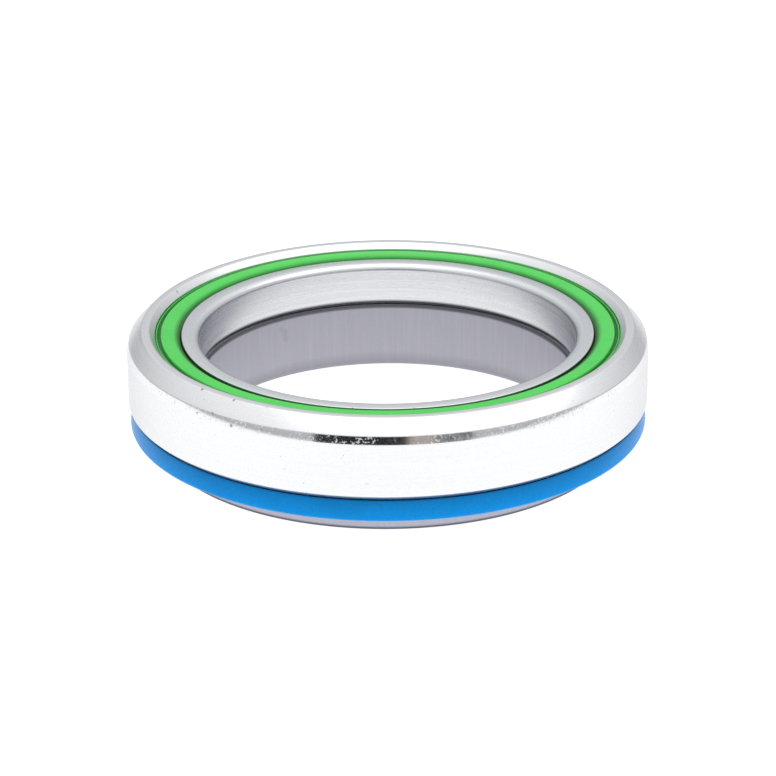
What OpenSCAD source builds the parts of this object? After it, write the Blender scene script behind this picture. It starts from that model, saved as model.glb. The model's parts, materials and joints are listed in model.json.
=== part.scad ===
// Lower bearing assembly of a 1-1/8 inch bicycle headset.
// A sealed 45/45 degree angular contact bearing sits on the cone of its crown race.
// Z is the steering axis, up the head tube. The race's foot stands on z = 0.

/* [Bearing] */
// Bore of the bearing's inner ring
bearing_bore = 30.15; // [27:0.05:46]
// Wall behind the raceway's groove in each ring, so that the bearing is 41.8 wide
groove_wall = 1.2615; // [1.2:0.0005:1.6]
// Height of the bearing, from the inner ring's underside to the outer ring's top
bearing_h = 6.5; // [6:0.1:8]
// How far the outer ring's underside lies above the inner ring's underside
foot_lift = 0.1; // [0:0.02:0.2]
// Height of the narrow band between the straight wall and the 45 degree seat
band_h = 0.68; // [0.4:0.02:0.9]
// Width of the 45 degree seat on the outer ring's top edge, measured along the radius
seat_w = 1.05; // [0.8:0.05:1.2]
// How far the narrow band leans in from the straight wall
band_in = 0.16; // [0.05:0.01:0.3]
// Width of the flat top of the outer ring
top_land_w = 0.64; // [0.5:0.02:0.8]
// Width of the slope from the flat top in and down to the upper seal
lip_slope_w = 0.45; // [0.2:0.05:0.5]
// Bevel on the outer ring's lower edge
foot_bevel = 0.5; // [0.2:0.05:0.7]
// How far the inner ring's top lies below the outer ring's top
top_step = 0.6; // [0.4:0.05:0.7]
// Wall of the inner ring above the balls
inner_wall = 1.43; // [1.35:0.01:1.5]
// Height of the inner ring's 45 degree cone, from the ring's underside to the bore
cone_h = 2.6; // [2.3:0.1:2.8]
// Radius that rounds the upper edge of the inner ring's bore
bore_round = 0.55; // [0.3:0.05:0.7]

/* [Balls and cage] */
// Diameter of a ball
ball_d = 3.175; // [3:0.025:3.3]
// Number of balls
ball_count = 24; // [18:1:24]
// How far the ball centres lie below the middle of the bearing's height
ball_drop = 0.15; // [0.1:0.05:0.25]
// Radius of a raceway's groove, as a share of the ball's diameter
groove_share = 0.52; // [0.515:0.005:0.53]
// Room between a ball and its pocket in the cage
pocket_play = 0.1; // [0.05:0.01:0.15]
// Thickness of the cage's ring over the top of a pocket
cage_roof = 0.15; // [0.1:0.01:0.2]
// Room between the cage's ring and the bearing's rings
cage_play = 0.25; // [0.2:0.01:0.3]
// How far the cage's horns reach below the ball centres, as a share of the ball's radius
horn_reach = 0.7; // [0.6:0.05:0.8]
// Width of the slot between two snap horns of the cage
horn_slot = 0.9; // [0.6:0.1:1.1]

/* [Upper seal] */
// How far the seal's flat face lies below the outer ring's top
seal_drop = 0.46; // [0.3:0.02:0.5]
// Width of the seal's flat face
seal_flat_w = 0.95; // [0.7:0.05:1.1]
// Depth of the channel round the flat face
seal_channel_depth = 0.26; // [0.1:0.02:0.35]
// Gap between the seal's lip and the inner ring
lip_gap = 0.1; // [0.06:0.01:0.15]
// Depth of the groove that the seal's bead snaps into
bead_depth = 0.35; // [0.2:0.05:0.4]

/* [Crown race] */
// How far the race's bore, pressed on the fork's 30 mm seat, lies inside the bearing's bore
race_bore_in = 0.175; // [0:0.005:0.3]
// Height of the race
race_h = 5.45; // [5:0.05:6]
// How far the race's flange, which carries the seal, lies inside the bearing's wall
flange_in = 1.6; // [1.2:0.05:1.8]
// How far the race's foot lies inside the bearing's wall
foot_in = 2.5; // [1.8:0.05:2.8]
// Width of the flange's upper face, outside the shelf under the bearing
flange_w = 1; // [0.7:0.05:1.1]
// How far the flange's upper face lies below the inner ring's underside
flange_drop = 1.4; // [1.2:0.05:1.6]
// Height of the upright wall of the foot, below the slope out to the flange
foot_wall_h = 0.75; // [0.5:0.05:0.9]
// Height of the flange's upright rim
flange_rim_h = 0.3; // [0.15:0.05:0.35]
// Bevel on the lower edge of the race's bore
race_bevel = 0.35; // [0.1:0.05:0.5]
// Gap between the cone of the race and the cone of the inner ring
seat_play = 0.02; // [0.01:0.01:0.05]
// Height of the open joint between the race's top and the foot of the bearing's bore
joint_gap = 0.35; // [0.2:0.05:0.45]

/* [Crown race seal] */
// How far the widest part of the seal lies inside the bearing's wall
seal_face_in = 0.12; // [0.1:0.01:0.2]
// How far the seal's outer face leans in towards its top
seal_lean = 0.25; // [0.2:0.05:0.4]
// Radius that rounds the seal's lower outer edge
seal_round = 0.35; // [0.2:0.05:0.5]
// Gap between the seal and the outer ring's lower edge
seal_gap = 0.1; // [0.1:0.05:0.25]
// Height of the seal's bead, which snaps into the race's groove
seal_bead_h = 0.6; // [0.4:0.05:0.8]
// How far the seal hangs below the flange's upper face
seal_hang = 0.15; // [0:0.05:0.25]

/* [Hidden] */
steel = [0.86, 0.87, 0.87];
bright_steel = [0.94, 0.95, 0.94];
race_alloy = [0.65, 0.65, 0.7];
green_rubber = [0.36, 0.84, 0.4];
blue_rubber = [0.03, 0.52, 0.82];
cage_nylon = [0.85, 0.8, 0.68];

// Small bevel that breaks a turned ring's sharp edges
edge = 0.08;
// Gap between a rubber bead and the wall of its groove
bead_fit = 0.05;
// How far a seal's bead rises from its inner edge to the mouth of its groove
bead_slope = 0.2;
root2 = sqrt(2);

bore_r = bearing_bore / 2;
ball_r = ball_d / 2;
groove_r = groove_share * ball_d;
pitch_r = bore_r + groove_wall + groove_r;
od_r = pitch_r + groove_r + groove_wall;

// Heights above the race's foot
base_z = race_h + joint_gap - cone_h;
flange_h = base_z - flange_drop;
top_z = base_z + bearing_h;
ball_z = base_z + bearing_h / 2 - ball_drop;
inner_top_z = top_z - top_step;
seal_face_z = top_z - seal_drop;

// The outer ring's section
land_out_r = od_r - band_in - seat_w;
land_in_r = land_out_r - top_land_w;
wall_top_z = top_z - seat_w - band_h;
outer_foot_z = base_z + foot_lift;
wall_foot_z = outer_foot_z + foot_bevel;
// The high shoulder is beside the seal, the low one lets the ring pass over the balls
shoulder_over = 0.3;
shoulder_hold = 0.2;
outer_high_r = pitch_r + shoulder_over;
outer_low_r = pitch_r + ball_r - shoulder_hold;
// How far the ledges that hold the seals lie above and below the balls
ledge_over = 0.4;
ledge_under = 0.2;
seal_ledge_z = ball_z + ball_r + ledge_over;
lip_r = land_in_r - lip_slope_w;
bead_r = lip_r + bead_depth;
// How far the mouth and the floor of the upper seal's groove lie below the seal's face
mouth_drop = 0.12;
throat_drop = 0.3;

// The inner ring's section
inner_low_r = bore_r + inner_wall;
cone_foot_r = bore_r + cone_h;
foot_land_w = 0.36;
inner_high_r = cone_foot_r + foot_land_w;

// The hidden lower seal, in a groove of the outer ring under the balls
seal_lift = 0.3;
seal_skirt_w = 0.1;
lower_bead_r = outer_low_r + bead_depth;
lower_skirt_r = outer_low_r + seal_skirt_w;
lower_ledge_z = ball_z - ball_r - ledge_under;
lower_groove_z = outer_foot_z + seal_lift + bead_slope;

// The upper seal: play of its bead in the groove, heights of its lip below the inner ring's top,
// thickness of its web over the ledge, and the step where the web meets the outer ring
mouth_play = 0.02;
throat_play = 0.04;
lip_drop = 0.2;
lip_foot_drop = 0.35;
web_lift = 0.15;
web_step = 0.1;

// The cage's section, as shares of the ball's radius: half its web's width, then heights above and
// below the ball centres, then how far the horns' ends reach out and in, as shares of that half width
web_share = 0.5;
rim_share = 0.7;
foot_share = 0.6;
shoulder_share = 0.25;
knee_share = 0.45;
horn_out_share = 0.4;
horn_in_share = 0.6;

// How far the race's shelf lies below the bearing
shelf_drop = 0.25;

function ball_name(i) = str("ball_", i < 10 ? "0" : "", i);

// Points along an arc round c, from angle a0 to a1 in n steps
function arc(c, r, a0, a1, n) = [
    for (i = [0 : n]) c + r * [cos(a0 + (a1 - a0) * i / n), sin(a0 + (a1 - a0) * i / n)]
];

// Turns a section, given as points of radius and height, about the steering axis
module turned(section) {
    rotate_extrude($fn = 192) polygon(section);
}

// Cuts the raceway's groove, a true torus round the ball centres
module raceway() {
    rotate_extrude($fn = 192) translate([pitch_r, ball_z]) circle(r = groove_r, $fn = 72);
}

module outer_ring() {
    section = [
        [od_r, wall_foot_z],
        [od_r, wall_top_z],
        [od_r - band_in, top_z - seat_w],
        [land_out_r + edge, top_z - edge],
        [land_out_r - edge, top_z],
        [land_in_r + edge, top_z],
        [land_in_r - edge, top_z - edge],
        [lip_r, seal_face_z],
        [lip_r, seal_face_z - mouth_drop],
        [bead_r, seal_face_z - throat_drop],
        [bead_r, seal_ledge_z],
        [outer_high_r + edge, seal_ledge_z],
        [outer_high_r, seal_ledge_z - edge],
        [outer_high_r, ball_z],
        [outer_low_r, ball_z],
        [outer_low_r, lower_ledge_z],
        [lower_bead_r, lower_ledge_z],
        [lower_bead_r, lower_groove_z],
        [lower_skirt_r, outer_foot_z + seal_lift],
        [lower_skirt_r, outer_foot_z + edge],
        [lower_skirt_r + edge, outer_foot_z],
        [od_r - foot_bevel, outer_foot_z]
    ];
    color(bright_steel) difference() {
        turned(section);
        raceway();
    }
}

module inner_ring() {
    section = concat(
        [
            [cone_foot_r, base_z],
            [inner_high_r - edge, base_z],
            [inner_high_r, base_z + edge],
            [inner_high_r, ball_z],
            [inner_low_r, ball_z],
            [inner_low_r, inner_top_z - edge],
            [inner_low_r - edge, inner_top_z]
        ],
        arc([bore_r + bore_round, inner_top_z - bore_round], bore_round, 90, 180, 6),
        [[bore_r, base_z + cone_h]]
    );
    color(steel) difference() {
        turned(section);
        raceway();
    }
}

// One angle per ball
function ball_angle(i) = 360 * (i - 1) / ball_count;

module ball_at(i, r) {
    rotate([0, 0, ball_angle(i)]) translate([pitch_r, 0, ball_z]) sphere(r = r, $fn = 48);
}

module ball(i) {
    color(steel) ball_at(i, ball_r);
}

// A snap cage: a ring over the balls, with pockets that close past their middle
module ball_cage() {
    roof_z = ball_z + ball_r + pocket_play + cage_roof;
    horn_z = ball_z - horn_reach * ball_r;
    knee_z = ball_z - knee_share * ball_r;
    cage_in_r = inner_low_r + cage_play;
    cage_out_r = outer_high_r - cage_play;
    web_w = web_share * ball_r;
    section = [
        [cage_in_r, roof_z],
        [cage_out_r, roof_z],
        [cage_out_r, ball_z + rim_share * ball_r],
        [pitch_r + web_w, ball_z + shoulder_share * ball_r],
        [pitch_r + web_w, knee_z],
        [pitch_r + horn_out_share * web_w, horn_z],
        [pitch_r - horn_in_share * web_w, horn_z],
        [pitch_r - web_w, knee_z],
        [cage_in_r, ball_z + foot_share * ball_r]
    ];
    color(cage_nylon) difference() {
        turned(section);
        for (i = [1 : ball_count]) {
            ball_at(i, ball_r + pocket_play);
            rotate([0, 0, ball_angle(i + 0.5)]) translate([pitch_r, 0, horn_z])
                rotate([0, 90, 0]) cylinder(d = horn_slot, h = 4 * web_w, center = true, $fn = 24);
        }
    }
}

module upper_seal() {
    flat_out_r = outer_high_r - 2 * edge;
    flat_in_r = flat_out_r - seal_flat_w;
    channel_z = seal_face_z - seal_channel_depth;
    section = [
        [bead_r - bead_fit, seal_ledge_z],
        [bead_r - bead_fit, seal_face_z - throat_drop - throat_play],
        [lip_r - bead_fit, seal_face_z - mouth_drop - mouth_play],
        [lip_r - bead_fit, seal_face_z - edge],
        [lip_r - bead_fit - edge, seal_face_z - edge / 2],
        [lip_r - bead_fit - 2 * edge, channel_z],
        [flat_out_r + edge, channel_z],
        [flat_out_r, seal_face_z],
        [flat_in_r, seal_face_z],
        [inner_low_r + lip_gap, inner_top_z - lip_drop],
        [inner_low_r + lip_gap, inner_top_z - lip_foot_drop],
        [flat_in_r, seal_ledge_z + web_lift],
        [outer_high_r - web_step, seal_ledge_z + web_lift],
        [outer_high_r, seal_ledge_z]
    ];
    color(green_rubber) turned(section);
}

module lower_seal() {
    lip_in_r = inner_high_r + lip_gap;
    under_z = outer_foot_z + seal_lift + bead_fit;
    web_z = (lower_ledge_z + under_z) / 2;
    section = [
        [lower_bead_r - bead_fit, lower_ledge_z],
        [outer_low_r, lower_ledge_z],
        [outer_low_r - shoulder_hold, web_z + bead_fit],
        [lip_in_r + lip_gap, web_z + bead_fit],
        [lip_in_r, web_z - bead_fit],
        [lip_in_r, under_z],
        [outer_low_r, under_z],
        [lower_skirt_r - bead_fit, under_z],
        [lower_bead_r - bead_fit, lower_groove_z + bead_fit]
    ];
    color(green_rubber) turned(section);
}

module crown_race() {
    race_r = bore_r - race_bore_in;
    cone_sum = bore_r + base_z + cone_h - seat_play * root2;
    shelf_z = base_z - shelf_drop;
    flange_r = od_r - flange_in;
    foot_r = od_r - foot_in;
    shelf_r = flange_r - flange_w;
    section = [
        [race_r + race_bevel, 0],
        [foot_r - edge, 0],
        [foot_r, edge],
        [foot_r, foot_wall_h],
        [flange_r, flange_h - flange_rim_h],
        [flange_r, flange_h],
        [shelf_r - bead_depth, flange_h],
        [shelf_r - bead_depth, flange_h + seal_bead_h],
        [shelf_r, flange_h + seal_bead_h + bead_slope],
        [shelf_r, shelf_z - edge],
        [shelf_r - edge, shelf_z],
        [cone_sum - shelf_z, shelf_z],
        [cone_sum - race_h + edge / 2, race_h - edge / 2],
        [cone_sum - race_h - edge / 2, race_h],
        [race_r + edge, race_h],
        [race_r, race_h - edge],
        [race_r, race_bevel]
    ];
    color(race_alloy) turned(section);
}

module crown_race_seal() {
    flange_r = od_r - flange_in;
    shelf_r = flange_r - flange_w;
    groove_floor_r = shelf_r - bead_depth + bead_fit;
    wide_r = od_r - seal_face_in;
    top_r = wide_r - seal_lean;
    hang_z = flange_h - seal_hang;
    // The top runs beside the outer ring's bevel, seal_gap away from it
    seal_top_z = wall_foot_z - (od_r - top_r) - seal_gap * root2;
    lean = atan(seal_lean / (seal_top_z - hang_z));
    web_z = flange_h + seal_bead_h + bead_slope;
    section = concat(
        [
            [groove_floor_r, flange_h],
            [flange_r, flange_h],
            [flange_r + 2 * seal_hang, hang_z]
        ],
        arc([wide_r - seal_round, hang_z + seal_round], seal_round, 270, 360 + lean, 6),
        [
            [top_r, seal_top_z - 2 * edge],
            [top_r - edge, seal_top_z - edge],
            [top_r - foot_bevel, seal_top_z - foot_bevel],
            [flange_r + bead_slope, web_z + bead_slope],
            [shelf_r + bead_fit, web_z],
            [shelf_r + bead_fit, web_z - bead_fit],
            [groove_floor_r, web_z - bead_slope - bead_fit]
        ]
    );
    color(blue_rubber) turned(section);
}

outer_ring();
inner_ring();
ball_cage();
upper_seal();
lower_seal();
crown_race();
crown_race_seal();
for (i = [1 : ball_count]) ball(i);
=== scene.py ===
"""The looks of a headset's lower bearing standing on its crown race.

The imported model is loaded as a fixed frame. Every ring and seal is turned here from its section,
with soft edges, and gets the finish of the real one. Lengths are in metres, along +Z up the steerer.
"""

import json
import math
from collections import namedtuple
from functools import reduce

import bpy
from mathutils import Matrix, Vector


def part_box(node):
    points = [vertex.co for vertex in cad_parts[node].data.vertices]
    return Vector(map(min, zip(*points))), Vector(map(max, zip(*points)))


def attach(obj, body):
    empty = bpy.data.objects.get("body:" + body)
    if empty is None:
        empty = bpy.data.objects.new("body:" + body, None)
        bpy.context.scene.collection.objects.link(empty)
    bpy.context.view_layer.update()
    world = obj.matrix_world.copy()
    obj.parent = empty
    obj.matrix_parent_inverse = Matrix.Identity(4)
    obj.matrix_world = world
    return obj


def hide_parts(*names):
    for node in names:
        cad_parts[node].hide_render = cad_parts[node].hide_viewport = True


bl_info = {
    "name": "Headset Bearing Maker",
    "version": (1, 0, 0),
    "blender": (4, 5, 0),
    "location": "View3D > Sidebar > Headset",
    "description": "Turns the rings and seals of a headset's lower bearing and sets its studio",
    "category": "Mesh",
}

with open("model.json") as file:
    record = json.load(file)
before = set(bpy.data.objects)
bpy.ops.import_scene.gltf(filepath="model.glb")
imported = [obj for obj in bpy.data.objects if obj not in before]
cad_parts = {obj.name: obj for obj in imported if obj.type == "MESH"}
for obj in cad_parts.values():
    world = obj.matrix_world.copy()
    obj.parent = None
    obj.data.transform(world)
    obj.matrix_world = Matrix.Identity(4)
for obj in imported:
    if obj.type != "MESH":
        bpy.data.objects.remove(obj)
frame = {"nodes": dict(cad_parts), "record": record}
MM = 0.001
ROOT2 = math.sqrt(2)

# How a section is turned: steps round the axis, the distance under which points merge, faces across
# a softened edge, the least turn of an edge that is softened, and the most that is shaded smooth
RING_STEPS = 360
WELD = MM / 1000
SOFT_STEPS = 3
SOFT_FROM = math.radians(12.5)
SMOOTH_TO = math.radians(32)
RACEWAY_STEPS = 16
BORE_ROUND_STEPS = 8
SEAL_ROUND_STEPS = 10

# Radius of a raceway's groove, as a share of the ball's diameter, and the bevel that breaks an edge
GROOVE_SHARE = 0.52
EDGE = 0.08 * MM
# The ledges that hold the seals over and under the balls, the lower seal's skirt, the mouth and the
# throat of the upper seal's groove with the play in each, the heights of its lip, and its web
LEDGE_OVER = 0.4 * MM
LEDGE_UNDER = 0.2 * MM
SKIRT_W = 0.1 * MM
MOUTH_DROP = 0.12 * MM
MOUTH_PLAY = 0.02 * MM
THROAT_DROP = 0.3 * MM
THROAT_PLAY = 0.04 * MM
LIP_DROP = 0.2 * MM
LIP_FOOT_DROP = 0.35 * MM
WEB_LIFT = 0.15 * MM
WEB_STEP = 0.1 * MM

# Reach of the wear and of the painted shade in the seams, and depth of the finest relief
CHIP_REACH = 0.14 * MM
MARK_RAGGED = 0.2 * MM
STEEL_SEAM = 0.2 * MM
RACE_SEAM = 0.3 * MM
BAND_FADE = 0.03 * MM
GROUND_LINES = 0.0004 * MM
BRUSHED_LINES = 0.0011 * MM
POLISH_LINES = 0.0001 * MM
RUBBER_GRAIN = 0.003 * MM
RACE_GRAIN = 0.0012 * MM
# Colour of the steel's reflection at a grazing angle
STEEL_GRAZING = (0.78, 0.78, 0.80, 1.0)
# Heights between which the race's bore grows lighter as its painted shade fades, and radii between its bore
# and its outside, past which the outside is painted lighter
BORE_SHADE_HEIGHTS = (0.3 * MM, 1.3 * MM)
PAINTED_LIGHT_RADII = (15.4 * MM, 15.9 * MM)
# Depths under the green seal's face between which shade is painted into its channel
CHANNEL_DARK = 0.24 * MM
CHANNEL_LIGHT = 0.04 * MM

# The studio, in metres and watts: the table, the overhead panel and the card low in front, which glows as a
# painted reflection.
# The card's left part is dark, the next warm grey, and the last blotched, from the X given here
FLOOR_SIZE = 6.0
FLOOR_Z = -0.02 * MM
FLOOR_FADE = (0.3, 1.0)
FLOOR_FAR = 0.27
PANEL_SIZE = (1.0, 0.6)
PANEL_POWER = 1.3
PANEL_PLACE = (0.20, -0.06, 0.60)
CARD_SIZE = (0.196, 0.05)
CARD_PLACE = (0.009, -0.16, 0.025)
CARD_WARM = (0.019, 0.024)
CARD_BLOTCHED = (0.051, 0.055)

# Nicks seen on the outer ring: x, y, z and radius in millimetres
OUTER_NICKS = (
    (-14.08, -13.80, 9.68, 0.18),
    (-11.57, -15.97, 9.67, 0.15),
    (-13.25, -16.02, 8.60, 0.18),
    (-11.74, -17.21, 8.10, 0.19),
    (-9.44, -18.55, 8.35, 0.16),
    (-14.45, -14.98, 8.22, 0.12),
    (-17.42, 7.65, 9.50, 0.24),
    (16.10, -10.42, 9.66, 0.12),
    (9.80, 17.00, 9.62, 0.14),
    (-3.10, 20.60, 8.30, 0.16),
)
# Smudges seen in the race's bore: x, y, z and radius in millimetres
RACE_SMUDGES = (
    (-8.72, 12.08, 4.10, 0.45),
    (-8.60, 12.16, 3.60, 0.40),
    (-8.95, 11.91, 4.50, 0.30),
)

Around = namedtuple("Around", "place radius height unit")


def box_of(node):
    """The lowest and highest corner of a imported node."""
    low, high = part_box(node)
    return Vector(low), Vector(high)


def mount_of(name):
    """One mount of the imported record."""
    return next(m for m in frame["record"]["mounts"] if m["name"] == name)


def bore_of(name):
    """The radius of a round mount in metres."""
    return mount_of(name)["dims"]["r_mm"] * MM


def length(name, description, default, high=0.05):
    """A length property, given in millimetres and kept in metres."""
    return bpy.props.FloatProperty(
        name=name,
        description=description,
        default=default * MM,
        min=0.0,
        max=high,
        precision=5,
        subtype="DISTANCE",
        unit="LENGTH",
    )


def angle(name, description, degrees):
    """An angle property, given in degrees."""
    return bpy.props.FloatProperty(
        name=name, description=description, default=math.radians(degrees), subtype="ANGLE"
    )


def tint(name, description, default):
    """A colour property."""
    return bpy.props.FloatVectorProperty(
        name=name,
        description=description,
        default=default,
        size=3,
        min=0.0,
        soft_max=1.0,
        subtype="COLOR",
    )


class HeadsetRings(bpy.types.PropertyGroup):
    """Sizes of the two steel rings."""

    ball_d: length("Ball", "Diameter of a ball", 3.175)
    groove_wall: length("Groove wall", "Wall behind a raceway's groove", 1.2615)
    ball_drop: length("Ball drop", "How far the ball centres lie below the middle of the bearing", 0.15)
    seat_w: length("Seat", "Width of the 45 degree seat along the radius", 1.05)
    band_h: length("Band height", "Height of the narrow band under the seat", 0.68)
    band_in: length("Band lean", "How far the narrow band leans in from the wall", 0.16)
    top_land_w: length("Top land", "Width of the flat top of the outer ring", 0.64)
    lip_slope_w: length("Lip slope", "Width of the slope from the flat top down to the green seal", 0.45)
    foot_bevel: length("Foot bevel", "Bevel on the outer ring's lower edge", 0.5)
    shoulder_over: length("High shoulder", "How far the upper shoulder lies outside the ball centres", 0.3)
    shoulder_hold: length("Low shoulder", "How far the lower shoulder reaches under the balls", 0.2)
    inner_wall: length("Inner wall", "Wall of the inner ring above the balls", 1.43)
    foot_land_w: length("Foot land", "Width of the inner ring's flat foot", 0.36)
    cone_h: length("Cone", "Height of the inner ring's 45 degree cone", 2.6)
    bore_round: length("Bore rounding", "Radius of the upper edge of the bore", 0.55)
    soften: length("Soft edge", "Width of the softening on a turned steel edge", 0.06)


class HeadsetSeals(bpy.types.PropertyGroup):
    """Sizes of the rubber seals and of the race that carries the lowest one."""

    face_drop: length("Seal drop", "How far the green seal's face lies below the outer ring's top", 0.46)
    flat_w: length("Flat face", "Width of the green seal's flat face", 0.95)
    channel: length("Channel", "Depth of the channel round the flat face", 0.26)
    lip_gap: length("Lip gap", "Gap between a seal's lip and the inner ring", 0.1)
    bead: length("Bead", "Depth of the groove that a seal's bead snaps into", 0.35)
    fit: length("Bead fit", "Gap between a bead and the wall of its groove", 0.05)
    slope: length("Bead slope", "How far a bead rises to the mouth of its groove", 0.2)
    lift: length("Lower seal lift", "Height of the lower seal over the outer ring's foot", 0.3)
    seal_face_in: length("Blue face", "How far the blue seal lies inside the bearing's wall", 0.12)
    seal_lean: length("Blue lean", "How far the blue seal's face leans in towards its top", 0.14)
    seal_round: length("Blue rounding", "Radius of the blue seal's lower outer edge", 0.35)
    seal_gap: length("Seal gap", "Gap between the blue seal and the outer ring", 0.06)
    seal_hang: length("Seal hang", "How far the blue seal hangs below the flange's upper face", 0.15)
    soften: length("Soft edge", "Width of the softening on a moulded edge", 0.04)


class HeadsetRace(bpy.types.PropertyGroup):
    """Sizes of the crown race."""

    flange_in: length("Flange", "How far the flange lies inside the bearing's wall", 1.6)
    flange_w: length("Flange width", "Width of the flange's upper face", 1.0)
    flange_h: length("Flange height", "Height of the flange's upper face", 1.8)
    flange_rim_h: length("Flange rim", "Height of the flange's upright rim", 0.3)
    foot_in: length("Foot", "How far the foot lies inside the bearing's wall", 2.5)
    foot_wall_h: length("Foot wall", "Height of the upright wall of the foot", 0.75)
    shelf_drop: length("Shelf drop", "How far the shelf lies below the bearing", 0.25)
    seat_play: length("Seat play", "Gap between the race's cone and the inner ring's cone", 0.02)
    race_bevel: length("Bore bevel", "Bevel on the lower edge of the race's bore", 0.35)
    groove_h: length("Groove height", "Height of the groove that the blue seal's bead snaps into", 0.6)
    soften: length("Soft edge", "Width of the softening on a turned edge", 0.07)


class HeadsetFinish(bpy.types.PropertyGroup):
    """Colours of the finishes."""

    steel: tint("Ground steel", "Colour of the outer ring", (0.825, 0.83, 0.835))
    bore_steel: tint("Bore steel", "Colour of the inner ring", (0.75, 0.765, 0.775))
    race: tint("Race", "Colour of the crown race", (0.42, 0.415, 0.465))
    green: tint("Green rubber", "Colour of the bearing's seals", (0.07, 0.59, 0.085))
    blue: tint("Blue rubber", "Colour of the crown race's seal", (0.0, 0.245, 0.66))
    nylon: tint("Nylon", "Colour of the cage", (0.70, 0.62, 0.45))
    # Colour of real nicks and smudges, and also of the shade painted into the seams and round the race's
    # foot
    grime_and_painted_shade: tint("Grime", "Colour in nicks and smudges", (0.10, 0.10, 0.11))
    floor: tint("Floor", "Colour of the studio floor", (0.30, 0.30, 0.30))


class HeadsetStage(bpy.types.PropertyGroup):
    """Camera and light."""

    distance: length("Distance", "Distance of the camera from the bearing", 240.0, high=2.0)
    elevation: angle("Elevation", "Height angle of the camera", 21.94)
    pitch: angle("Pitch", "How far the camera looks down", 22.36)
    roll: angle("Roll", "Turn of the camera about its view", -0.39)
    lens: bpy.props.FloatProperty(name="Lens", description="Focal length in millimetres", default=138.2)
    aim_h: length("Aim height", "Height above the floor that the distance is measured from", 5.89)
    horizon: tint("Horizon light", "Colour of the studio's walls", (0.48, 0.49, 0.51))
    ceiling: tint("Ceiling light", "Colour of the studio's ceiling", (1.02, 1.03, 1.05))
    glow: bpy.props.FloatProperty(
        name="Table glow", description="Light that the table gives off", default=0.92, min=0.0
    )


def settings(name):
    """One of this file's property groups on the scene."""
    return getattr(bpy.context.scene, name)


def deselect_all():
    """Leaves object mode with nothing selected."""
    if bpy.context.object and bpy.context.object.mode != "OBJECT":
        bpy.ops.object.mode_set(mode="OBJECT")
    bpy.ops.object.select_all(action="DESELECT")


def draw_section(name, points):
    """Draws a closed outline in the XZ plane, starting from a plane that is merged to one corner."""
    deselect_all()
    bpy.ops.mesh.primitive_plane_add(size=MM, location=(0, 0, 0))
    piece = bpy.context.object
    piece.name = name
    piece.data.name = name
    bpy.ops.object.mode_set(mode="EDIT")
    bpy.ops.mesh.select_all(action="SELECT")
    bpy.ops.mesh.merge(type="CENTER")
    bpy.ops.transform.translate(value=(points[0][0], 0, points[0][1]))
    for before, after in zip(points, points[1:] + points[:1]):
        step = (after[0] - before[0], 0, after[1] - before[1])
        bpy.ops.mesh.extrude_region_move(TRANSFORM_OT_translate={"value": step})
    bpy.ops.mesh.select_all(action="SELECT")
    bpy.ops.mesh.remove_doubles(threshold=WELD)
    return piece


def turn_ring(name, points, soften):
    """Turns a section into a ring with smooth faces and softened edges."""
    piece = draw_section(name, points)
    bpy.ops.mesh.spin(steps=RING_STEPS, angle=math.tau, center=(0, 0, 0), axis=(0, 0, 1))
    bpy.ops.mesh.select_all(action="SELECT")
    bpy.ops.mesh.remove_doubles(threshold=WELD)
    bpy.ops.mesh.normals_make_consistent(inside=False)
    bpy.ops.object.mode_set(mode="OBJECT")
    bevel = piece.modifiers.new("Soft edges", "BEVEL")
    bevel.width = soften
    bevel.segments = SOFT_STEPS
    bevel.limit_method = "ANGLE"
    bevel.angle_limit = SOFT_FROM
    bpy.ops.object.modifier_apply(modifier=bevel.name)
    bpy.ops.object.shade_smooth_by_angle(angle=SMOOTH_TO)
    flat = piece.modifiers.new("Flat faces", "WEIGHTED_NORMAL")
    flat.keep_sharp = True
    bpy.ops.object.modifier_apply(modifier=flat.name)
    return piece


def arc(centre, radius, start, end, steps):
    """Points on an arc in the section's plane, with angles in degrees."""
    turn = [math.radians(start + (end - start) * i / steps) for i in range(steps + 1)]
    return [(centre[0] + radius * math.cos(a), centre[1] + radius * math.sin(a)) for a in turn]


class Section:
    """The heights and radii that the rings and seals share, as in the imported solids."""

    def __init__(self):
        rings = settings("headset_rings")
        seals = settings("headset_seals")
        race = settings("headset_race")
        self.bore = bore_of("bearing_bore")
        self.od = bore_of("head_tube_fit")
        self.ball = rings.ball_d / 2
        self.groove = GROOVE_SHARE * rings.ball_d
        self.pitch = self.bore + rings.groove_wall + self.groove
        self.base = box_of("inner_ring")[0].z
        self.top = box_of("outer_ring")[1].z
        self.middle = (self.base + self.top) / 2 - rings.ball_drop
        self.inner_top = box_of("inner_ring")[1].z
        self.face = self.top - seals.face_drop
        self.foot = box_of("outer_ring")[0].z
        self.wall_foot = self.foot + rings.foot_bevel
        self.wall_top = self.top - rings.seat_w - rings.band_h
        self.land_out = self.od - rings.band_in - rings.seat_w
        self.land_in = self.land_out - rings.top_land_w
        self.outer_high = self.pitch + rings.shoulder_over
        self.outer_low = self.pitch + self.ball - rings.shoulder_hold
        self.ledge = self.middle + self.ball + LEDGE_OVER
        self.lip = self.land_in - rings.lip_slope_w
        self.bead = self.lip + seals.bead
        self.inner_low = self.bore + rings.inner_wall
        self.cone_foot = self.bore + rings.cone_h
        self.inner_high = self.cone_foot + rings.foot_land_w
        self.low_bead = self.outer_low + seals.bead
        self.low_skirt = self.outer_low + SKIRT_W
        self.low_ledge = self.middle - self.ball - LEDGE_UNDER
        self.low_groove = self.foot + seals.lift + seals.slope
        self.flange = self.od - race.flange_in
        self.shelf = self.flange - race.flange_w

    def raceway(self, start, end):
        """The groove's arc between two angles, seen from the ball's centre."""
        return arc((self.pitch, self.middle), self.groove, start, end, RACEWAY_STEPS)

    def groove_angle(self, radius, above):
        """The angle at which the groove meets a shoulder of that radius, above or below the balls."""
        turn = math.degrees(math.acos((radius - self.pitch) / self.groove))
        return turn if above else 360 - turn


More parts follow.
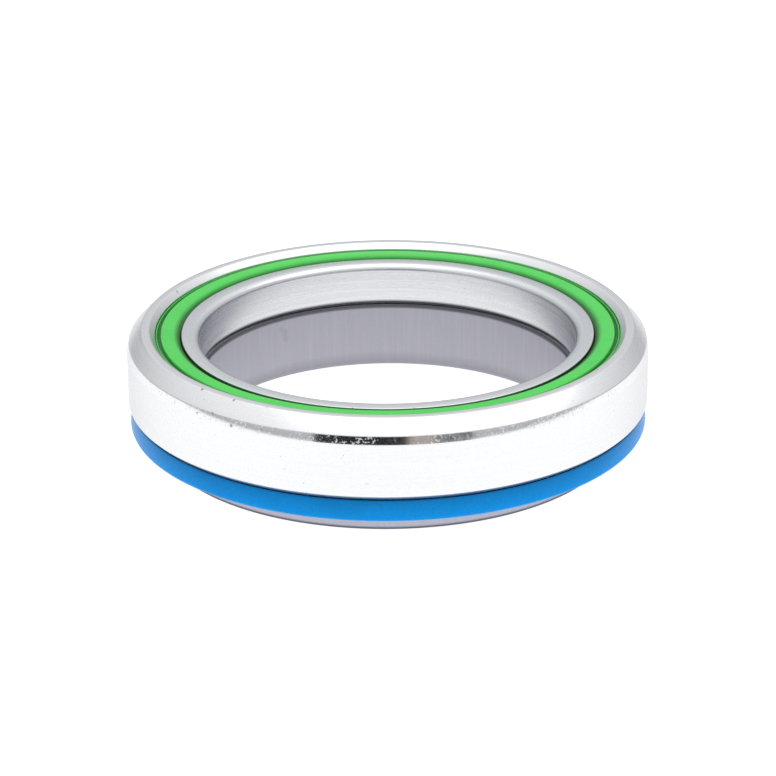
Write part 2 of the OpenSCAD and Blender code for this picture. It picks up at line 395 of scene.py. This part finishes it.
def new_material(name):
    """A node material with its tree and shader."""
    material = bpy.data.materials.new(name)
    material.use_nodes = True
    tree = material.node_tree
    shader = next(n for n in tree.nodes if n.type == "BSDF_PRINCIPLED")
    return material, tree, shader


def feed(tree, socket, value):
    """Gives a socket a link, a number or a vector."""
    if isinstance(value, bpy.types.NodeSocket):
        tree.links.new(value, socket)
    else:
        socket.default_value = value


def maths(tree, operation, first, second=None):
    """A math node of one or two links or numbers."""
    node = tree.nodes.new("ShaderNodeMath")
    node.operation = operation
    feed(tree, node.inputs[0], first)
    if second is not None:
        feed(tree, node.inputs[1], second)
    return node.outputs[0]


def product(tree, *factors):
    """All the factors multiplied, each a link or a number."""
    return reduce(lambda first, second: maths(tree, "MULTIPLY", first, second), factors)


def highest(tree, values):
    """The highest of several links."""
    return reduce(lambda first, second: maths(tree, "MAXIMUM", first, second), values)


def vector_maths(tree, operation, first, second=None):
    """A vector math node of links or vectors, whose answer to a length or a distance is a number."""
    node = tree.nodes.new("ShaderNodeVectorMath")
    node.operation = operation
    feed(tree, node.inputs[0], first)
    if second is not None:
        feed(tree, node.inputs[1], second)
    return node.outputs["Value" if operation in ("LENGTH", "DISTANCE") else "Vector"]


def object_place(tree):
    """A piece's own coordinates."""
    return tree.nodes.new("ShaderNodeTexCoord").outputs["Object"]


def apart(tree, vector):
    """The X, Y and Z of a linked vector."""
    node = tree.nodes.new("ShaderNodeSeparateXYZ")
    tree.links.new(vector, node.inputs[0])
    return node.outputs["X"], node.outputs["Y"], node.outputs["Z"]


def together(tree, **parts):
    """A vector of links given as X, Y and Z, zero where one is left out."""
    node = tree.nodes.new("ShaderNodeCombineXYZ")
    for key, part in parts.items():
        tree.links.new(part, node.inputs[key])
    return node.outputs[0]


def around_axis(tree):
    """Place, radius, height and the unit direction round the steering axis."""
    place = object_place(tree)
    x, y, height = apart(tree, place)
    flat = together(tree, X=x, Y=y)
    return Around(place, vector_maths(tree, "LENGTH", flat), height, vector_maths(tree, "NORMALIZE", flat))


def noise(tree, place, scale, detail=2.0, fourth=None):
    """Noise of so many waves a metre, in four dimensions where a fourth link is given."""
    node = tree.nodes.new("ShaderNodeTexNoise")
    node.inputs["Scale"].default_value = scale
    node.inputs["Detail"].default_value = detail
    tree.links.new(place, node.inputs["Vector"])
    if fourth is not None:
        node.noise_dimensions = "4D"
        tree.links.new(fourth, node.inputs["W"])
    return node.outputs["Fac"]


def turning_noise(tree, at, across, along, detail=3.0):
    """Noise stretched round the axis: so many waves a metre across the section, and few along the turn."""
    turn = vector_maths(tree, "MULTIPLY", at.unit, (along, along, along))
    lift = together(tree, Z=product(tree, at.height, across))
    return noise(tree, vector_maths(tree, "ADD", turn, lift), 1.0, detail, product(tree, at.radius, across))


def map_range(tree, value, low, high, to_low=0.0, to_high=1.0, smooth=False):
    """A value carried from one range to another, held at the ends."""
    node = tree.nodes.new("ShaderNodeMapRange")
    node.interpolation_type = "SMOOTHSTEP" if smooth else "LINEAR"
    tree.links.new(value, node.inputs["Value"])
    for key, number in (("From Min", low), ("From Max", high), ("To Min", to_low), ("To Max", to_high)):
        node.inputs[key].default_value = number
    return node.outputs["Result"]


def near(tree, gap, reach, core):
    """One where the gap is within a share of the reach, fading to zero at the reach."""
    return map_range(tree, gap, reach * core, reach, 1.0, 0.0, smooth=True)


def mix(tree, factor, first, second):
    """A colour between two, each a colour or a link, by a factor."""
    node = tree.nodes.new("ShaderNodeMix")
    node.data_type = "RGBA"
    tree.links.new(factor, node.inputs["Factor"])
    for key, value in (("A", first), ("B", second)):
        socket = next(i for i in node.inputs if i.name == key and i.type == "RGBA")
        feed(tree, socket, (*value, 1.0) if isinstance(value, tuple) else value)
    return next(o for o in node.outputs if o.type == "RGBA")


def grey(share):
    """A neutral colour."""
    return (share, share, share)


def scaled(colour, share):
    """A colour made lighter or darker."""
    return tuple(min(1.0, c * share) for c in colour)


def bump(tree, shader, height, distance):
    """Puts a height on the shader's normal."""
    node = tree.nodes.new("ShaderNodeBump")
    node.inputs["Distance"].default_value = distance
    tree.links.new(height, node.inputs["Height"])
    tree.links.new(node.outputs[0], shader.inputs["Normal"])


def marks(tree, place, spots):
    """One where any of the round spots lies, zero elsewhere, with ragged edges."""
    ragged = product(tree, maths(tree, "SUBTRACT", noise(tree, place, 9000.0), 0.5), MARK_RAGGED)
    found = []
    for x, y, z, reach in spots:
        gap = vector_maths(tree, "DISTANCE", place, (x * MM, y * MM, z * MM))
        found.append(near(tree, maths(tree, "ADD", gap, ragged), reach * MM, core=0.4))
    return highest(tree, found)


def pits(tree, place, scale, size):
    """One in small scattered pits, whose size is a share of the room between them, zero elsewhere."""
    cells = tree.nodes.new("ShaderNodeTexVoronoi")
    cells.inputs["Scale"].default_value = scale
    cells.inputs["Randomness"].default_value = 1.0
    tree.links.new(place, cells.inputs["Vector"])
    return near(tree, cells.outputs["Distance"], size, core=0.6)


def edge_band(tree, at, corner, reach):
    """One along an edge of the section, at its radius and height, fading out at the reach."""
    across = maths(tree, "SUBTRACT", at.radius, corner[0])
    up = maths(tree, "SUBTRACT", at.height, corner[1])
    squares = maths(tree, "ADD", product(tree, across, across), product(tree, up, up))
    return near(tree, maths(tree, "SQRT", squares), reach, core=0.3)


def seam_painted_shade(tree, at, corners, reach):
    """One beside the corners of the section where shade is painted into the seams and round the foot, zero
    elsewhere.
    """
    return highest(tree, [edge_band(tree, at, corner, reach) for corner in corners])


def steel_wear(tree, at, nicks, edges):
    """One in the pits, the chips along the section's edges and the nicks that are seen."""
    sparse = map_range(tree, noise(tree, at.place, 900.0), 0.56, 0.64)
    found = [product(tree, pits(tree, at.place, scale=2600.0, size=0.12), sparse)]
    for corner in edges:
        chips = map_range(tree, noise(tree, at.place, 2600.0, 4.0), 0.62, 0.70)
        found.append(product(tree, edge_band(tree, at, corner, CHIP_REACH), product(tree, chips, sparse)))
    if nicks:
        found.append(marks(tree, at.place, nicks))
    return highest(tree, found)


def band_polish(tree, at, rough, band):
    """A roughness made smoother between two heights, where the band is ground bright, with dull specks."""
    low, high = band
    above = map_range(tree, at.height, low, low + BAND_FADE)
    below = map_range(tree, at.height, high - BAND_FADE, high, 1.0, 0.0)
    on_band = product(tree, above, below)
    specks = map_range(tree, noise(tree, at.place, 5200.0, 3.0), 0.54, 0.62)
    coarse = map_range(tree, noise(tree, at.place, 700.0), 0.35, 0.6)
    dull = product(tree, specks, coarse, on_band, 0.35)
    smoother = map_range(tree, on_band, 0.0, 1.0, 1.0, 0.40)
    return maths(tree, "ADD", product(tree, rough, smoother), dull)


def steel_finish(name, colour, roughness, line_depth, nicks=(), edges=(), seams=(), band=None):
    """Ground steel with turning lines, a fine speckle, chipped edges and nicks, and shade painted into its
    seams.
    """
    grime_and_painted_shade = tuple(settings("headset_finish").grime_and_painted_shade)
    material, tree, shader = new_material(name)
    at = around_axis(tree)
    lines = turning_noise(tree, at, across=11000.0, along=1.6)
    broad = turning_noise(tree, at, across=2600.0, along=0.9, detail=4.0)
    speckle = map_range(tree, noise(tree, at.place, 6500.0), 0.36, 0.64)
    worn = steel_wear(tree, at, nicks, edges)
    tone = mix(tree, speckle, scaled(colour, 0.94), tuple(colour))
    tone = mix(tree, map_range(tree, broad, 0.38, 0.66), tone, scaled(colour, 0.96))
    tone = mix(tree, product(tree, worn, 0.6), tone, grime_and_painted_shade)
    # Shade painted into the seams where the ring meets the next part, in the grime colour
    if seams:
        tone = mix(tree, product(tree, seam_painted_shade(tree, at, seams, STEEL_SEAM), 0.7), tone, grime_and_painted_shade)
    rough = map_range(tree, lines, 0.3, 0.7, *roughness)
    if band:
        rough = band_polish(tree, at, rough, band)
    rough = maths(tree, "ADD", rough, product(tree, worn, 0.3))
    relief = maths(tree, "SUBTRACT", maths(tree, "ADD", lines, product(tree, speckle, 0.5)), worn)
    shader.inputs["Metallic"].default_value = 1.0
    shader.inputs["Specular Tint"].default_value = STEEL_GRAZING
    tree.links.new(tone, shader.inputs["Base Color"])
    tree.links.new(rough, shader.inputs["Roughness"])
    bump(tree, shader, relief, line_depth)
    return material


def rubber_finish(name, colour, roughness, shine, shade=None):
    """Moulded rubber with a fine satin grain and faint clouding.

    Shade, when given, is painted into the colour: two heights, the lower one first, and the share of the
    colour at each.
    """
    material, tree, shader = new_material(name)
    at = around_axis(tree)
    fine = noise(tree, at.place, 5200.0, 3.0)
    cloud = noise(tree, at.place, 420.0, 3.0)
    tone = mix(tree, map_range(tree, fine, 0.3, 0.7), scaled(colour, 0.92), scaled(colour, 1.05))
    tone = mix(tree, map_range(tree, cloud, 0.45, 0.75), tone, scaled(colour, 0.90))
    # Painted shade, and painted light where a share is over one, between the two heights
    if shade:
        low, high, low_share, high_share = shade
        painted_light_and_shade = mix(tree, map_range(tree, at.height, low, high), grey(low_share), grey(high_share))
        tone = vector_maths(tree, "MULTIPLY", tone, painted_light_and_shade)
    shader.inputs["Specular IOR Level"].default_value = shine
    tree.links.new(tone, shader.inputs["Base Color"])
    tree.links.new(map_range(tree, fine, 0.3, 0.7, roughness, roughness + 0.1), shader.inputs["Roughness"])
    bump(tree, shader, fine, RUBBER_GRAIN)
    return material


def race_finish(name, colour, seams):
    """Satin race metal: a blasted grain, upright streaks and smudges in its bore, with painted shade low in
    its bore and at its top joint, a contact shadow painted round its foot, and its outside painted lighter.
    """
    grime_and_painted_shade = tuple(settings("headset_finish").grime_and_painted_shade)
    material, tree, shader = new_material(name)
    at = around_axis(tree)
    fine = noise(tree, at.place, 7000.0, 3.0)
    upright = turning_noise(tree, at, across=160.0, along=60.0)
    lines = turning_noise(tree, at, across=9000.0, along=1.2)
    tone = mix(tree, map_range(tree, fine, 0.3, 0.7), scaled(colour, 0.94), scaled(colour, 1.06))
    tone = mix(tree, map_range(tree, upright, 0.45, 0.8), tone, scaled(colour, 1.08))
    tone = mix(tree, product(tree, marks(tree, at.place, RACE_SMUDGES), 0.12), tone, grime_and_painted_shade)
    # Painted shade low in the bore, and the outside painted lighter where the flange's shade falls on the
    # foot
    bore_painted_shade = mix(tree, map_range(tree, at.height, *BORE_SHADE_HEIGHTS), grey(0.8), grey(1.04))
    painted_light_and_shade = mix(tree, map_range(tree, at.radius, *PAINTED_LIGHT_RADII), bore_painted_shade, grey(1.25))
    tone = vector_maths(tree, "MULTIPLY", tone, painted_light_and_shade)
    # Shade painted at the joint under the inner ring, and a contact shadow painted round the foot
    tone = mix(tree, product(tree, seam_painted_shade(tree, at, seams, RACE_SEAM), 0.9), tone, grime_and_painted_shade)
    shader.inputs["Metallic"].default_value = 0.85
    tree.links.new(tone, shader.inputs["Base Color"])
    tree.links.new(map_range(tree, fine, 0.3, 0.7, 0.48, 0.6), shader.inputs["Roughness"])
    bump(tree, shader, maths(tree, "ADD", fine, lines), RACE_GRAIN)
    return material


def dress(piece, material, body, slot, *nodes):
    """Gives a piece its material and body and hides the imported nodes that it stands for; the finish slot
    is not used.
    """
    piece.data.materials.clear()
    piece.data.materials.append(material)
    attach(piece, body)
    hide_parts(*nodes)


class HEADSET_OT_outer_ring(bpy.types.Operator):
    """Turn the bearing's outer ring"""

    bl_idname = "headset.outer_ring"
    bl_label = "Outer Ring"

    def execute(self, context):
        rings = settings("headset_rings")
        s = Section()
        high = s.groove_angle(s.outer_high, above=True)
        low = s.groove_angle(s.outer_low, above=False)
        seat_foot = (s.od - rings.band_in, s.top - rings.seat_w)
        points = [
            (s.od, s.wall_foot),
            (s.od, s.wall_top),
            seat_foot,
            (s.land_out, s.top),
            (s.land_in, s.top),
            (s.lip, s.face),
            (s.lip, s.face - MOUTH_DROP),
            (s.bead, s.face - THROAT_DROP),
            (s.bead, s.ledge),
            (s.outer_high, s.ledge),
            *s.raceway(high, low - 360),
            (s.outer_low, s.low_ledge),
            (s.low_bead, s.low_ledge),
            (s.low_bead, s.low_groove),
            (s.low_skirt, s.foot + settings("headset_seals").lift),
            (s.low_skirt, s.foot),
            (s.od - rings.foot_bevel, s.foot),
        ]
        ring = turn_ring("bearing_outer_ring", points, rings.soften)
        steel = steel_finish(
            "Ground ring steel",
            settings("headset_finish").steel,
            roughness=(0.24, 0.34),
            line_depth=GROUND_LINES,
            nicks=OUTER_NICKS,
            edges=[(s.land_out, s.top), seat_foot],
            band=(s.wall_top, seat_foot[1]),
        )
        dress(ring, steel, "outer", "outer_ring_steel", "outer_ring")
        return {"FINISHED"}


class HEADSET_OT_inner_ring(bpy.types.Operator):
    """Turn the bearing's inner ring"""

    bl_idname = "headset.inner_ring"
    bl_label = "Inner Ring"

    def execute(self, context):
        rings = settings("headset_rings")
        s = Section()
        high = s.groove_angle(s.inner_high, above=False)
        low = s.groove_angle(s.inner_low, above=True)
        rounding = (s.bore + rings.bore_round, s.inner_top - rings.bore_round)
        points = [
            (s.cone_foot, s.base),
            (s.inner_high, s.base),
            *s.raceway(high, low),
            (s.inner_low, s.inner_top),
            *arc(rounding, rings.bore_round, 90, 180, BORE_ROUND_STEPS),
            (s.bore, s.base + rings.cone_h),
        ]
        ring = turn_ring("bearing_inner_ring", points, rings.soften)
        steel = steel_finish(
            "Brushed ring steel",
            settings("headset_finish").bore_steel,
            roughness=(0.22, 0.36),
            line_depth=BRUSHED_LINES,
            edges=[(s.inner_low, s.inner_top)],
            # Shade painted at the bore's lower corner, in the joint over the crown race
            seams=[(s.bore, s.base + rings.cone_h)],
        )
        dress(ring, steel, "race", "inner_ring_steel", "inner_ring")
        return {"FINISHED"}


class HEADSET_OT_bearing_seals(bpy.types.Operator):
    """Turn the green seals above and below the balls"""

    bl_idname = "headset.bearing_seals"
    bl_label = "Bearing Seals"

    def execute(self, context):
        s = Section()
        rubber = rubber_finish(
            "Green seal rubber",
            settings("headset_finish").green,
            roughness=0.36,
            shine=0.25,
            # Shade painted into the channel round the seal's flat face
            shade=(s.face - CHANNEL_DARK, s.face - CHANNEL_LIGHT, 0.22, 1.0),
        )
        for name, points, node in (
            ("seal_above", self.upper_points(), "upper_seal"),
            ("seal_below", self.lower_points(), "lower_seal"),
        ):
            ring = turn_ring(name, points, settings("headset_seals").soften)
            dress(ring, rubber, "outer", "green_rubber", node)
        return {"FINISHED"}

    def upper_points(self):
        """The seal that is seen: bead, channel, flat face and lip."""
        seals = settings("headset_seals")
        s = Section()
        flat_out = s.outer_high - 2 * EDGE
        flat_in = flat_out - seals.flat_w
        channel = s.face - seals.channel
        rim = s.lip - seals.fit
        under = s.ledge + WEB_LIFT
        lip_in = s.inner_low + seals.lip_gap
        return [
            (s.bead - seals.fit, s.ledge),
            (s.bead - seals.fit, s.face - THROAT_DROP - THROAT_PLAY),
            (rim, s.face - MOUTH_DROP - MOUTH_PLAY),
            (rim, s.face - EDGE),
            (rim - EDGE, s.face - EDGE / 2),
            (rim - 2 * EDGE, channel),
            (flat_out + EDGE, channel),
            (flat_out, s.face),
            (flat_in, s.face),
            (lip_in, s.inner_top - LIP_DROP),
            (lip_in, s.inner_top - LIP_FOOT_DROP),
            (flat_in, under),
            (s.outer_high - WEB_STEP, under),
            (s.outer_high, s.ledge),
        ]

    def lower_points(self):
        """The hidden seal under the balls."""
        seals = settings("headset_seals")
        hold = settings("headset_rings").shoulder_hold
        s = Section()
        lip_in = s.inner_high + seals.lip_gap
        under = s.foot + seals.lift + seals.fit
        web = (s.low_ledge + under) / 2
        return [
            (s.low_bead - seals.fit, s.low_ledge),
            (s.outer_low, s.low_ledge),
            (s.outer_low - hold, web + seals.fit),
            (lip_in + seals.lip_gap, web + seals.fit),
            (lip_in, web - seals.fit),
            (lip_in, under),
            (s.outer_low, under),
            (s.low_skirt - seals.fit, under),
            (s.low_bead - seals.fit, s.low_groove + seals.fit),
        ]


class HEADSET_OT_crown_race(bpy.types.Operator):
    """Turn the crown race"""

    bl_idname = "headset.crown_race"
    bl_label = "Crown Race"

    def execute(self, context):
        race = settings("headset_race")
        seals = settings("headset_seals")
        s = Section()
        bore = bore_of("fork_seat")
        top = box_of("crown_race")[1].z
        cone = s.bore + s.base + settings("headset_rings").cone_h - race.seat_play * ROOT2
        shelf_z = s.base - race.shelf_drop
        foot = s.od - race.foot_in
        groove_top = race.flange_h + race.groove_h
        points = [
            (bore + race.race_bevel, 0),
            (foot, 0),
            (foot, race.foot_wall_h),
            (s.flange, race.flange_h - race.flange_rim_h),
            (s.flange, race.flange_h),
            (s.shelf - seals.bead, race.flange_h),
            (s.shelf - seals.bead, groove_top),
            (s.shelf, groove_top + seals.slope),
            (s.shelf, shelf_z),
            (cone - shelf_z, shelf_z),
            (cone - top, top),
            (bore, top),
            (bore, race.race_bevel),
        ]
        ring = turn_ring("race_ring", points, race.soften)
        # Corners where shade is painted: the joint under the inner ring and the foot's contact with the
        # table
        seams = [(bore, top), (foot, 0)]
        metal = race_finish("Satin race metal", settings("headset_finish").race, seams)
        dress(ring, metal, "race", "race_alloy", "crown_race")
        return {"FINISHED"}


class HEADSET_OT_race_seal(bpy.types.Operator):
    """Turn the blue seal that the crown race carries"""

    bl_idname = "headset.race_seal"
    bl_label = "Race Seal"

    def execute(self, context):
        bevel = settings("headset_rings").foot_bevel
        race = settings("headset_race")
        seals = settings("headset_seals")
        s = Section()
        wide = s.od - seals.seal_face_in
        lip = wide - seals.seal_lean
        hang = race.flange_h - seals.seal_hang
        lip_z = s.wall_foot - (s.od - lip) - seals.seal_gap * ROOT2
        lean = math.degrees(math.atan(seals.seal_lean / (lip_z - hang)))
        web = race.flange_h + race.groove_h + seals.slope
        floor = s.shelf - seals.bead + seals.fit
        corner = (wide - seals.seal_round, hang + seals.seal_round)
        points = [
            (floor, race.flange_h),
            (s.flange, race.flange_h),
            (s.flange + 2 * seals.seal_hang, hang),
            *arc(corner, seals.seal_round, 270, 360 + lean, SEAL_ROUND_STEPS),
            (lip, lip_z - 2 * EDGE),
            (lip - EDGE, lip_z - EDGE),
            (lip - bevel, lip_z - bevel),
            (s.flange + seals.slope, web + seals.slope),
            (s.shelf + seals.fit, web),
            (s.shelf + seals.fit, web - seals.fit),
            (floor, web - seals.slope - seals.fit),
        ]
        ring = turn_ring("race_seal_ring", points, seals.soften)
        rubber = rubber_finish(
            "Blue seal rubber",
            settings("headset_finish").blue,
            roughness=0.26,
            shine=0.1,
            # Painted shade at the top under the outer ring's overhang, and painted light towards the lower
            # edge
            shade=(hang, lip_z, 1.18, 0.72),
        )
        dress(ring, rubber, "race", "blue_rubber", "crown_race_seal")
        return {"FINISHED"}


class HEADSET_OT_balls_and_cage(bpy.types.Operator):
    """Finish the balls and the cage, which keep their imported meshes"""

    bl_idname = "headset.balls_and_cage"
    bl_label = "Balls and Cage"

    def execute(self, context):
        finish = settings("headset_finish")
        polish = steel_finish("Polished ball steel", finish.steel, (0.05, 0.09), POLISH_LINES)
        nylon = rubber_finish("Cage nylon", finish.nylon, roughness=0.45, shine=0.4)
        for name, node in frame["nodes"].items():
            if name.startswith("ball_"):
                for slot in node.material_slots:
                    slot.material = nylon if name == "ball_cage" else polish
        return {"FINISHED"}


class HEADSET_OT_stage(bpy.types.Operator):
    """Set the floor, the lights and the camera"""

    bl_idname = "headset.stage"
    bl_label = "Stage"

    def execute(self, context):
        context.scene.view_settings.view_transform = "Standard"
        self.lay_floor()
        self.light_world()
        self.hang_lights()
        self.stand_card()
        self.place_camera()
        return {"FINISHED"}

    def lay_floor(self):
        """A pale table that glows a little under the bearing and fades away from it."""
        deselect_all()
        bpy.ops.mesh.primitive_plane_add(size=FLOOR_SIZE, location=(0, 0, FLOOR_Z))
        floor = bpy.context.object
        floor.name = "studio_floor"
        material, tree, shader = new_material("Studio floor")
        shader.inputs["Base Color"].default_value = (*settings("headset_finish").floor, 1.0)
        shader.inputs["Roughness"].default_value = 1.0
        shader.inputs["Specular IOR Level"].default_value = 0.0
        shader.inputs["Emission Color"].default_value = (1.0, 1.0, 1.0, 1.0)
        away = vector_maths(tree, "LENGTH", object_place(tree))
        glow = settings("headset_stage").glow
        fade = map_range(tree, away, *FLOOR_FADE, glow, FLOOR_FAR * glow, smooth=True)
        tree.links.new(fade, shader.inputs["Emission Strength"])
        floor.data.materials.append(material)

    def light_world(self):
        """Pale walls that grow a little brighter towards the ceiling."""
        stage = settings("headset_stage")
        world = bpy.data.worlds.new("Studio")
        bpy.context.scene.world = world
        world.use_nodes = True
        tree = world.node_tree
        up = apart(tree, tree.nodes.new("ShaderNodeTexCoord").outputs["Generated"])[2]
        rise = map_range(tree, up, 0.0, 0.7)
        tone = mix(tree, rise, tuple(stage.horizon), tuple(stage.ceiling))
        tree.links.new(tone, tree.nodes["Background"].inputs["Color"])

    def hang_lights(self):
        """One large soft panel overhead, a little to the right."""
        light = bpy.data.lights.new("key_panel", "AREA")
        light.shape = "RECTANGLE"
        light.size, light.size_y = PANEL_SIZE
        light.energy = PANEL_POWER
        lamp = bpy.data.objects.new("key_panel", light)
        lamp.location = PANEL_PLACE
        bpy.context.collection.objects.link(lamp)

    def stand_card(self):
        """A card low in front that glows with a painted reflection, dark, warm grey and blotched, which
        only the polished metal mirrors.
        """
        deselect_all()
        bpy.ops.mesh.primitive_plane_add(size=1.0, location=(0, 0, 0))
        card = bpy.context.object
        card.name = "painted_reflection_card"
        bpy.ops.object.mode_set(mode="EDIT")
        bpy.ops.mesh.select_all(action="SELECT")
        bpy.ops.transform.resize(value=(*CARD_SIZE, 1.0))
        bpy.ops.transform.rotate(value=math.pi / 2, orient_axis="X", center_override=(0, 0, 0))
        bpy.ops.transform.translate(value=CARD_PLACE)
        bpy.ops.object.mode_set(mode="OBJECT")
        material, tree, shader = new_material("Painted reflection card")
        place = object_place(tree)
        across = apart(tree, place)[0]
        # The card's glow is a painted reflection for the outer ring's narrow band
        blotch = map_range(tree, noise(tree, place, 160.0, 4.0), 0.42, 0.56)
        blotches = mix(tree, blotch, (0.04, 0.04, 0.045), (0.40, 0.40, 0.41))
        warm = map_range(tree, across, *CARD_WARM)
        ragged = map_range(tree, across, *CARD_BLOTCHED)
        tone = mix(tree, warm, (0.02, 0.02, 0.022), (0.50, 0.43, 0.40))
        tone = mix(tree, ragged, tone, blotches)
        shader.inputs["Base Color"].default_value = (0.0, 0.0, 0.0, 1.0)
        shader.inputs["Specular IOR Level"].default_value = 0.0
        shader.inputs["Emission Strength"].default_value = 1.0
        tree.links.new(tone, shader.inputs["Emission Color"])
        card.data.materials.append(material)
        for kind in ("camera", "diffuse", "transmission", "volume_scatter", "shadow"):
            setattr(card, f"visible_{kind}", False)

    def place_camera(self):
        """The camera in front of the bearing, at the angle that the settings give."""
        stage = settings("headset_stage")
        lens = bpy.data.cameras.new("camera")
        lens.lens = stage.lens
        lens.clip_start = 0.01
        camera = bpy.data.objects.new("camera", lens)
        back = stage.distance * math.cos(stage.elevation)
        up = stage.aim_h + stage.distance * math.sin(stage.elevation)
        camera.location = (0, -back, up)
        tilt = Matrix.Rotation(math.pi / 2 - stage.pitch, 3, "X")
        camera.rotation_euler = (tilt @ Matrix.Rotation(stage.roll, 3, "Z")).to_euler()
        bpy.context.collection.objects.link(camera)
        bpy.context.scene.camera = camera


class HEADSET_PT_panel(bpy.types.Panel):
    """The maker's panel in the sidebar"""

    bl_idname = "HEADSET_PT_panel"
    bl_label = "Headset Bearing"
    bl_space_type = "VIEW_3D"
    bl_region_type = "UI"
    bl_category = "Headset"

    def draw(self, context):
        for operator in OPERATORS:
            self.layout.operator(operator.bl_idname)
        for name in GROUPS:
            box = self.layout.box()
            group = getattr(context.scene, name)
            for key in group.bl_rna.properties.keys():
                if key not in ("rna_type", "name"):
                    box.prop(group, key)


GROUPS = {
    "headset_rings": HeadsetRings,
    "headset_seals": HeadsetSeals,
    "headset_race": HeadsetRace,
    "headset_finish": HeadsetFinish,
    "headset_stage": HeadsetStage,
}
OPERATORS = (
    HEADSET_OT_outer_ring,
    HEADSET_OT_inner_ring,
    HEADSET_OT_bearing_seals,
    HEADSET_OT_crown_race,
    HEADSET_OT_race_seal,
    HEADSET_OT_balls_and_cage,
    HEADSET_OT_stage,
)


def register():
    """Registers the classes and hangs the property groups on the scene."""
    for name, group in GROUPS.items():
        bpy.utils.register_class(group)
        setattr(bpy.types.Scene, name, bpy.props.PointerProperty(type=group))
    for kind in (*OPERATORS, HEADSET_PT_panel):
        bpy.utils.register_class(kind)


def unregister():
    """Undoes what register did."""
    for kind in reversed((*OPERATORS, HEADSET_PT_panel)):
        bpy.utils.unregister_class(kind)
    for name, group in GROUPS.items():
        delattr(bpy.types.Scene, name)
        bpy.utils.unregister_class(group)


def main():
    """Makes every piece and the stage."""
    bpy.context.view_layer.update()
    register()
    bpy.ops.headset.outer_ring()
    bpy.ops.headset.inner_ring()
    bpy.ops.headset.bearing_seals()
    bpy.ops.headset.crown_race()
    bpy.ops.headset.race_seal()
    bpy.ops.headset.balls_and_cage()
    bpy.ops.headset.stage()


if __name__ == "__main__":
    main()
